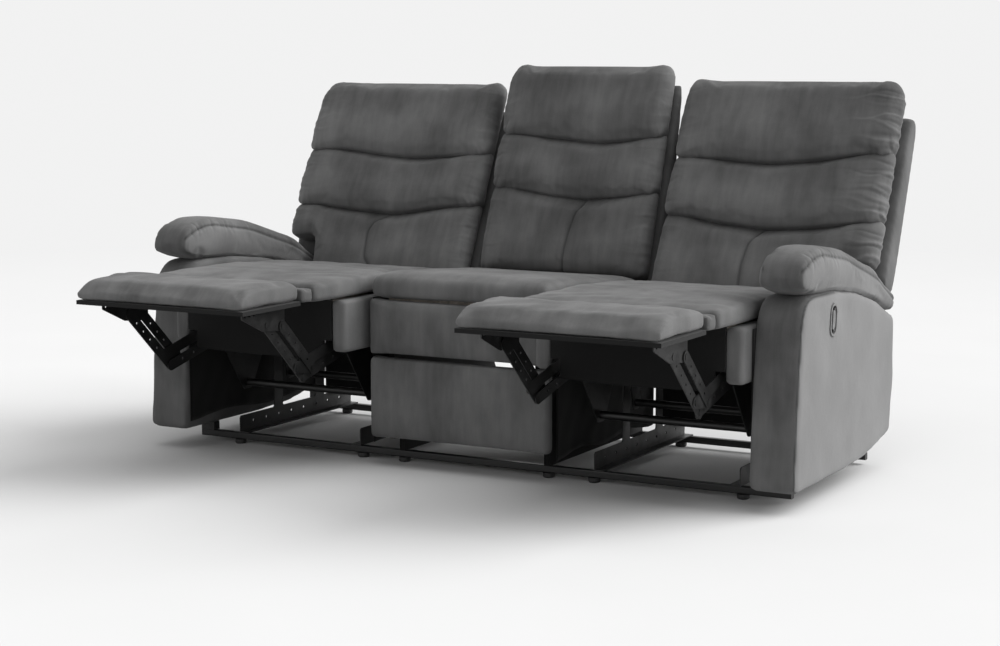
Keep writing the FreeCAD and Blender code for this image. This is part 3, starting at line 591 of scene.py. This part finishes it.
def cupHole(piece, sign):
    # the stadium opening for the handle's cup, cut through the cover and a little way into it
    half = 0.5 * handle["width"]
    tall, around = 0.5 * handle["height"], 64
    corners = [(-half, -tall, half), (half, -tall, half), (half, tall, half), (-half, tall, half)]
    across, up = roundedLoop(corners, around).T
    tilt = math.radians(handle["tilt"])
    y = handle["y"] + across * math.cos(tilt) - up * math.sin(tilt)
    z = handle["z"] + across * math.sin(tilt) + up * math.cos(tilt)
    xs = np.sort(np.array([handle["face"] - handle["depth"], handle["beyond"]]) * sign)
    rings = upright(np.repeat(xs[:, None], around, 1), np.tile(y, (2, 1)), np.tile(z, (2, 1)))
    cutter = ringLoft(piece.name + "_cutter", rings, False)
    mod = piece.modifiers.new("hole", "BOOLEAN")
    mod.operation, mod.solver, mod.object = "DIFFERENCE", "EXACT", cutter
    applyModifiers(piece)
    bpy.data.objects.remove(cutter)


armPieces = {}
for side, sign in (("right", 1), ("left", -1)):
    ends = sorted(sign * x for x in armX)
    piece = softBar(f"{side}_arm_cover", outlineSection(armLoop, 200), upright, ends, (0.012, 0.012), 0.001, 24)
    evenMesh(piece, 0.0088)
    subdivide(piece, 1)
    cupHole(piece, sign)
    armPieces[side, "arm"] = piece
    ends = sorted(sign * x for x in padX)
    piece = softBar(f"{side}_arm_pad_cover", outlineSection(padLoop, 160), upright, ends, (0.020, 0.020),
                    0.003, 24)
    armPieces[side, "pad"] = plump(piece, 0.0070, 0.007, 0.003)
print("stage: arms drawn")

runCloth()


# ---- sewn detail on each cover, after the cloth run ----

def finishBackPillow(piece, side, tier, sign, local):
    subdivide(piece, 1)
    p, n = coordsOf(piece), normalsOf(piece)
    x, v, w = local(p)
    ax = np.abs(x) if side != "centre" else x
    s = seams[side]
    facing = np.clip((w - 0.0) / 0.03, 0, 1)
    move, shade = np.zeros(len(p)), np.zeros(len(p))
    x0, x1 = (-centreHalf, centreHalf) if side == "centre" else sorted(sign * edge for edge in backSpan)
    if tier == "lower":
        line = ax - s["seam"](v)
        move -= 0.0045 * np.exp(-(line / 0.006) ** 2) * facing + 0.0045 * np.exp(-(line / 0.040) ** 2) * facing
        # painted shade in the sunken seam's crease, and painted shade along the pillow's bottom where it meets
        # the seat
        shade -= 0.55 * np.exp(-(line / 0.0030) ** 2) * facing
        shade -= 0.45 * np.exp(-((v - 0.070) / 0.014) ** 2) * facing
    edge = {"head": s["high"], "middle": s["low"], "lower": lambda q: 0.058 + 0 * q}[tier](ax)
    # painted shade along each tier's bottom lip, where it tucks under
    shade -= 0.35 * np.exp(-((v - edge + 0.012) / 0.006) ** 2)
    crown = {"head": s["top"], "middle": s["high"](ax), "lower": s["low"](ax)}[tier]
    climb = np.clip((v - edge) / (crown - edge), 0, 1)
    shade -= 0.16 * ease((climb - 0.40) / 0.40) * facing          # painted shade on the upper half, where the tier above overhangs, with the pile lying darker there too
    # painted light on the lower part of each tier
    shade += 0.10 * ease(1 - climb / 0.40) * facing
    # gathers along both end seams and up from the lower corners, with painted light on their crests and painted
    # shade in their hollows
    for end, inwards, seed in ((x1, x1 - x, 3), (x0, x - x0, 8)):
        outerEnd = side != "centre" and abs(end) > 0.6
        strong = {("right", True): 1.0, ("left", True): 0.5}.get((side, outerEnd), 0.35)
        low, high = {"head": (0.47, 0.66), "middle": (0.30, 0.46), "lower": (0.10, 0.28)}[tier]
        amount = folds(inwards, v, {"seed": seed + len(tier), "range": (low, high), "count": 11,
                                    "length": 0.055 * (0.6 + strong), "slope": 0.25})
        move += 0.0030 * strong * amount * ease((w + 0.03) / 0.04)
        # painted light on the gathers' crests and painted shade in their hollows
        shade += 0.30 * strong * np.clip(amount, -1, 1) * facing
    up = v - edge
    corner = np.minimum(x - x0, x1 - x)
    cornerFolds = {"count": 5, "length": 0.035, "slope": 0.5}
    amount = folds(up, x, {**cornerFolds, "seed": 21 + len(side), "range": (x1 - 0.10, x1 - 0.01)})
    amount += folds(up, x, {**cornerFolds, "seed": 35 + len(side), "range": (x0 + 0.01, x0 + 0.10)})
    move += 0.0026 * amount * facing * ease(1 - corner / 0.14)
    # painted light and shade on the corner folds
    shade += 0.25 * amount * facing * ease(1 - corner / 0.14)
    setCoords(piece, p + n * move[:, None])
    setShade(piece, shade)


for side, sign in (("right", 1), ("left", -1), ("centre", 1)):
    for tier, piece in backs[side].items():
        finishBackPillow(piece, side, tier, sign, centreLocal if side == "centre" else sideLocal)
        dress(piece, "velvet", "base" if side == "centre" else f"{side}_back")
        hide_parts(f"{side}_{tier}_pillow")
print("stage: back pillows sewn")


for side, sign in (("right", 1), ("left", -1)):
    for name, nodes in (("footrest", ["footrest_pad"]), ("flap", []), ("seat", ["seat_cushion", "seat_flap"])):
        piece = seatPieces[side, name]
        subdivide(piece, 1)
        p, n = coordsOf(piece), normalsOf(piece)
        x, y, z = p[:, 0], p[:, 1] + rail, p[:, 2]
        # painted shade darkening the covers towards their lower edges
        shade = -0.35 * ease((0.447 - z) / 0.01)
        top = ease((n[:, 2] - 0.3) / 0.5)
        across = np.sin(x * 37 + 4 * np.sin(y * 19 + sign))
        along = np.sin(y * 31 + sign * 2 + 3 * np.sin(x * 11))
        move = 0.0016 * across * along * top
        if name == "footrest":
            # painted highlight: a bright crest line along the footrest's rear edge, where it meets the flap
            shade += 0.7 * np.exp(-((y + 0.362 + 0.004 * np.sin(x * 23)) / 0.007) ** 2) * top
        setCoords(piece, p + n * move[:, None])
        setShade(piece, shade)
        dress(piece, "velvet", None if name == "seat" else f"{side}_{name}")
        if nodes:
            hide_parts(*[f"{side}_{node}" for node in nodes])
    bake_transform(seatPieces[side, "seat"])
    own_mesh(seatPieces[side, "flap"])

centreNodes = {"seat": "centre_seat_cushion", "panel": "centre_front_panel", "kick": "centre_kick_panel"}
for name, node in centreNodes.items():
    piece = seatPieces["centre", name]
    subdivide(piece, 1)
    p = coordsOf(piece)
    z = p[:, 2]
    # painted shade: a dark line in the joint of the front panel and the kick panel, and darker towards the kick
    # panel's bottom
    shade = -0.6 * np.exp(-((z - 0.2837) / 0.004) ** 2) - 0.5 * ease((0.074 - z) / 0.006)
    setShade(piece, shade)
    dress(piece, "velvet", "base")
    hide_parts(node)
print("stage: seats sewn")

padSeam = curve([(-0.140, 0.535), (-0.100, 0.568), (-0.026, 0.584), (0.165, 0.557), (0.389, 0.492),
                 (0.540, 0.412)])
for side, sign in (("right", 1), ("left", -1)):
    piece = armPieces[side, "arm"]
    p, n = coordsOf(piece), normalsOf(piece)
    outer = ease((n[:, 0] * sign - 0.55) / 0.25)
    y, z = p[:, 1] + rail, p[:, 2]
    edge = np.exp(-((n[:, 0] * sign - 0.62) / 0.16) ** 2) * (y < 0.10)
    inCup = np.hypot((y - handle["y"]) / 0.022, (z - handle["z"]) / 0.038) < 1
    # the outer side made lighter: partly a lighter side panel, partly painted light where the key light strikes
    # the right arm; painted shade in the seam band at the front-outer edge and towards the bottom
    shade = 0.62 * outer - 0.85 * edge - 0.5 * ease((0.062 - z) / 0.012)
    ripple = 0.0012 * np.sin(y * 27 + 3 * np.sin(z * 13)) * np.sin(z * 19 + 2 * np.sin(y * 9)) * outer * ~inCup
    setCoords(piece, p + n * ripple[:, None])
    # painted shade inside the handle's cup
    setShade(piece, np.where(inCup, -0.6, shade))
    dress(piece, "velvet", "base")
    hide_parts(f"{side}_arm")
    piece = armPieces[side, "pad"]
    subdivide(piece, 1)
    p, n = coordsOf(piece), normalsOf(piece)
    y, z = p[:, 1] + rail, p[:, 2]
    outer = ease((np.abs(n[:, 0]) - 0.50) / 0.30)
    seamZ = padSeam(y)
    line = np.exp(-((z - seamZ) / 0.0035) ** 2) * ease((np.abs(n[:, 0]) - 0.25) / 0.2)
    gather = folds(np.abs(z - seamZ), y, {"seed": 5, "range": (-0.12, 0.10), "count": 15, "length": 0.020,
                                          "slope": 0.4})
    near = ease((np.abs(n[:, 0]) - 0.15) / 0.25) * ease((0.14 - y) / 0.06)
    setCoords(piece, p + n * (0.0022 * gather * near - 0.0022 * line)[:, None])
    # the boxing side below the seam made lighter: partly a lighter panel, partly painted light; painted light
    # and shade on the gathers; painted shade in the seam's crease
    setShade(piece, 0.42 * outer * (z < seamZ) + 0.30 * gather * near - 0.55 * line)
    dress(piece, "velvet", "base")
    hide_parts(f"{side}_arm_pad")
print("stage: arms sewn")


# ---- outer shells of the backs ----

def shellPiece(name, spans, bottoms, place, nodes, body, lean=0.0, proud=0.0):
    def section(x):
        low = bottoms(x)
        theta = np.linspace(0, tau, 110, endpoint=False)
        up, out = 0.5 * (1 + power(np.sin(theta), 0.30)), 0.5 * (1 + power(np.cos(theta), 0.42))
        high = 0.612
        v = low[:, None] + (high - low[:, None]) * up[None]
        rear = -0.119 + 0.032 * (v + 0.010) / 0.622
        climb = np.clip(v / 0.62, 0, 1)              # the front face leans back with the pillows on it
        rear, face = rear - proud * climb, -0.029 - lean * climb
        w = rear + (face - rear) * out[None]
        return np.stack([v, w], -1)

    piece = softBar(name, section, place, spans, (0.010, 0.010), 0.002, 60)
    evenMesh(piece, 0.0105)
    subdivide(piece, 1)
    setShade(piece, np.zeros(len(piece.data.vertices)))
    dress(piece, "velvet", body)
    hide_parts(*nodes)
    return piece


def wingFoot(x):             # an end shell's bottom edge steps up over the arm
    return -0.010 + 0.155 * ease((np.abs(x) - 0.770) / 0.020)


for side, sign in (("right", 1), ("left", -1)):
    shellPiece(f"{side}_back_cover", tuple(sorted((0.2665 * sign, 0.885 * sign))), wingFoot, sidePlace,
               [f"{side}_back_shell"], f"{side}_back")
shellPiece("centre_back_cover", (-0.2585, 0.2585), lambda x: -0.095 + 0 * x, shellPlace,
           ["centre_back_shell"], "base", 0.049, 0.010)
print("stage: shells made")


# ---- side strips of the seat boxes, and black linings ----

stripLoop = [(-0.185, 0.298, 0.012), (0.375, 0.298, 0.012), (0.375, 0.4275, 0.004), (-0.185, 0.4275, 0.006)]
for side, sign in (("right", 1), ("left", -1)):
    for number, edge in enumerate((-1, 1)):
        ends = tuple(sorted((seatX * sign + edge * 0.220, seatX * sign + edge * 0.2597)))
        piece = softBar(f"{side}_strip_cover_{number}", outlineSection(stripLoop, 160), upright, ends,
                        (0.006, 0.006), 0.001, 10)
        evenMesh(piece, 0.0065)
        setShade(piece, np.zeros(len(piece.data.vertices)))
        dress(piece, "velvet", f"{side}_seat")
        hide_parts(f"{side}_side_strips")
print("stage: strips made")


def lining(name, x, ys, lowEdge, high, body, thick=0.0010):
    # a thin black cloth stretched over a side, its lower edge a gentle wave
    columns, rows = 60, 30
    y = np.linspace(ys[0], ys[1], columns)[:, None]
    t = np.linspace(0, 1, rows)[None, :]
    low = lowEdge(y)
    z = low + (high - low) * t
    wave = 0.0006 * np.sin(y * 90 + 3 * np.sin(z * 21)) * (1 - t)
    side = np.stack([x + wave, y - rail + 0 * z, z], -1)
    piece = addMesh(name, side, gridFaces(columns, rows, False))
    mod = piece.modifiers.new("thick", "SOLIDIFY")
    mod.thickness, mod.offset = thick, 0.0
    applyModifiers(piece)
    setShade(piece, np.zeros(len(piece.data.vertices)))
    dress(piece, "dustCloth", body)
    flat = float(np.sum((high - low[:-1]) * np.diff(y, axis=0)))
    return piece


for side, sign in (("right", 1), ("left", -1)):
    lining(f"{side}_arm_lining", 0.7868 * sign, (-0.128, 0.505),
           lambda y: 0.078 + 0.006 * np.sin(y * 17 + 1) + 0 * y, 0.420, "base")
    lining(f"centre_{side}_lining", 0.2600 * sign, (-0.062, 0.500),
           lambda y: 0.062 + 0.007 * np.sin(y * 23) + 0 * y, 0.425, "base")


def rearCloth(side, sign):
    # black cloth hung across the back of a seat bay, just in front of the rear rail
    columns, rows = 80, 24
    x = np.linspace(0.262, 0.7855, columns)[:, None] * sign
    t = np.linspace(0, 1, rows)[None, :]
    low, high = 0.062, 0.246
    z = low + 0.005 * np.sin(x * 31) + (high - low) * t
    y = 0.5130 + 0.0022 * np.sin(x * 70 + 2 * np.sin(z * 17)) * (1 - 0.6 * t)
    points = np.stack([x + 0 * z, y - rail, z], -1)
    piece = addMesh(f"{side}_rear_cloth", points, gridFaces(columns, rows, False))
    mod = piece.modifiers.new("thick", "SOLIDIFY")
    mod.thickness, mod.offset = 0.0010, 0.0
    applyModifiers(piece)
    dress(piece, "dustCloth", "base")


rearCloth("right", 1)
rearCloth("left", -1)
print("stage: linings made")


# ---- CAD nodes keep their shape and get their finish ----

nodeLooks = {"steel": ["front_rail", "rear_rail", "arm_brackets"], "plastic": ["rail_plugs", "glide_feet"],
             "dustCloth": ["centre_side_boards"], "wood": ["centre_deck"], "handle": []}
steelNames = ("base_angles", "seat_chassis", "back_brackets", "rear_links", "control_links", "front_links",
              "cross_links", "footrest_brackets")
for side in ("right", "left"):
    nodeLooks["steel"] += [f"{side}_{name}" for name in steelNames]
    nodeLooks["handle"] += [f"{side}_handle_bezel", f"{side}_release_lever"]
    nodeLooks["dustCloth"] += [f"{side}_front_board", f"{side}_footrest_board"]
    nodeLooks["wood"] += [f"{side}_seat_deck"]
for look, names in nodeLooks.items():
    for name in names:
        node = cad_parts[name]
        node.data.materials.clear()
        node.data.materials.append(finish[look])
print("stage: metal and boards finished")


# ---- studio ----

studio = {"camera": (2.488, -4.495, 1.042), "yaw": 28.68, "pitch": 7.56, "lens": 74.17,
          "world": 0.52, "page": 0.885, "floor": 0.60}


def sunLight(name, azimuth, height, angle, strength):
    # azimuth from +X towards +Y, both in degrees: where the light comes from
    data = bpy.data.lights.new(name, "SUN")
    data.angle, data.energy = math.radians(angle), strength
    lamp = bpy.data.objects.new(name, data)
    bpy.context.scene.collection.objects.link(lamp)
    lamp.rotation_euler = (0, math.radians(90 - height), math.radians(azimuth))


sunLight("keySun", 30, 33, 56, 4.2)
sunLight("topSun", -30, 72, 46, 0.9)
sunLight("frontSun", -100, 28, 80, 0.30)

view = bpy.data.cameras.new("studioCamera")
view.lens, view.sensor_width, view.sensor_fit = studio["lens"], 36.0, "HORIZONTAL"
view.clip_start, view.clip_end = 0.1, 60
camera = bpy.data.objects.new("studioCamera", view)
bpy.context.scene.collection.objects.link(camera)
camera.location = studio["camera"]
camera.rotation_euler = (math.radians(90 - studio["pitch"]), 0, math.radians(studio["yaw"]))
bpy.context.scene.camera = camera


def floorFinish():
    # pale matt floor that takes the shadow, fading to the page colour far from the sofa
    f = Finish("paleFloor")
    spot = f.place()
    far = f.node("ShaderNodeVectorMath", {"operation": "LENGTH"}, {0: spot}, output=1)
    away = f.clamp(far, 2.4, 6.0)
    seen = f.node("ShaderNodeLightPath", output=0)
    glossy = f.node("ShaderNodeLightPath", output=3)
    pale = studio["floor"]
    lighter = pale * 1.02
    tint = f.blend(f.clamp(f.noise(0.6, 2), 0.3, 0.7), (pale, pale, pale, 1), (lighter, lighter, lighter, 1))
    matt = f.node("ShaderNodeBsdfDiffuse", {}, {"Color": tint})
    page = f.node("ShaderNodeEmission", {}, {"Color": (1, 1, 1, 1), "Strength": studio["page"]})
    mixed = f.node("ShaderNodeMixShader", {}, {0: f.clamp(seen + glossy) * away, 1: matt, 2: page})
    out = f.tree.nodes.new("ShaderNodeOutputMaterial")
    f.tree.links.new(mixed.socket, out.inputs["Surface"])
    return f.material


u = np.linspace(-30, 30, 13)
gx, gy = np.meshgrid(u, u, indexing="ij")
floor = addMesh("studioFloor", np.stack([gx, gy, 0 * gx], -1), gridFaces(13, 13, False))
floor.data.materials.append(floorFinish())

world = bpy.data.worlds.new("studioWorld")
bpy.context.scene.world = world
world.use_nodes = True
tree = world.node_tree
tree.nodes.clear()
rays = tree.nodes.new("ShaderNodeLightPath")
both = tree.nodes.new("ShaderNodeMath"); both.operation = "MAXIMUM"
light, pageNode = tree.nodes.new("ShaderNodeBackground"), tree.nodes.new("ShaderNodeBackground")
light.inputs[1].default_value, pageNode.inputs[1].default_value = studio["world"], studio["page"]
light.inputs[0].default_value = pageNode.inputs[0].default_value = (1, 1, 1, 1)
mixNode, outNode = tree.nodes.new("ShaderNodeMixShader"), tree.nodes.new("ShaderNodeOutputWorld")
tree.links.new(rays.outputs["Is Camera Ray"], both.inputs[0])
tree.links.new(rays.outputs["Is Glossy Ray"], both.inputs[1])
tree.links.new(both.outputs[0], mixNode.inputs[0])
tree.links.new(light.outputs[0], mixNode.inputs[1])
tree.links.new(pageNode.outputs[0], mixNode.inputs[2])
tree.links.new(mixNode.outputs[0], outNode.inputs[0])

bpy.context.scene.view_settings.view_transform = "Standard"
print("stage: studio set")
